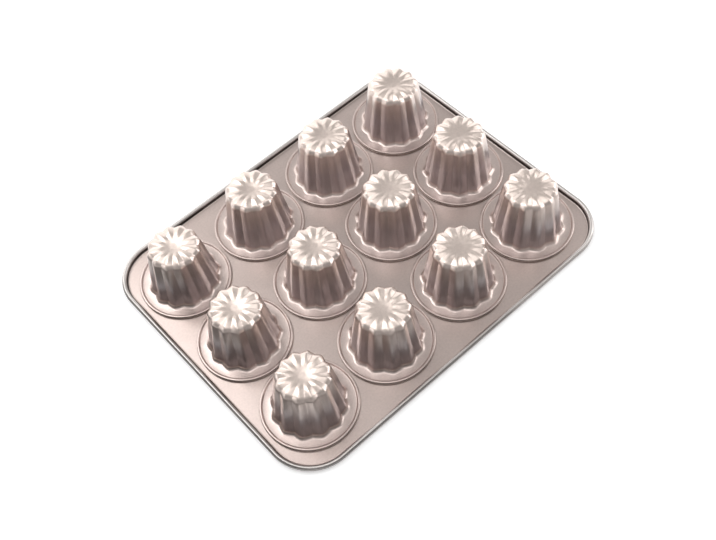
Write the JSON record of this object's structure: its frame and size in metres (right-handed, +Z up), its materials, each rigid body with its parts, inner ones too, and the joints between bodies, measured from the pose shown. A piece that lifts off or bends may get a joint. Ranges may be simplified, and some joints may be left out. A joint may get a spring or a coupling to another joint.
{
  "type": "canele mould",
  "caption": "Tray of fluted canele cups with crimped seams and a rolled rim, standing bottom side up.",
  "frame": {"origin": "centre of the tray's outline, on the plane of the sheet's face between the cup mouths, which is the lowest face as the mould stands bottom side up", "axes": "+X along the side of four cups, +Y along the side of three cups, +Z up through the closed cup ends"},
  "size_m": [0.3148, 0.2472, 0.0473],
  "materials": {
    "tray_coat": "satin champagne non-stick coat on steel sheet",
    "cup_coat": "satin champagne non-stick coat on drawn steel",
    "wire_steel": "bare drawn wire, out of sight inside the rolled rim"
  },
  "bodies": {
    "root": {"tray": "tray_coat", "rim_wire": "wire_steel", "cup_1_1": "cup_coat", "cup_1_2": "cup_coat", "cup_1_3": "cup_coat", "cup_1_4": "cup_coat", "cup_2_1": "cup_coat", "cup_2_2": "cup_coat", "cup_2_3": "cup_coat", "cup_2_4": "cup_coat", "cup_3_1": "cup_coat", "cup_3_2": "cup_coat", "cup_3_3": "cup_coat", "cup_3_4": "cup_coat"}
  },
  "joints": []
}
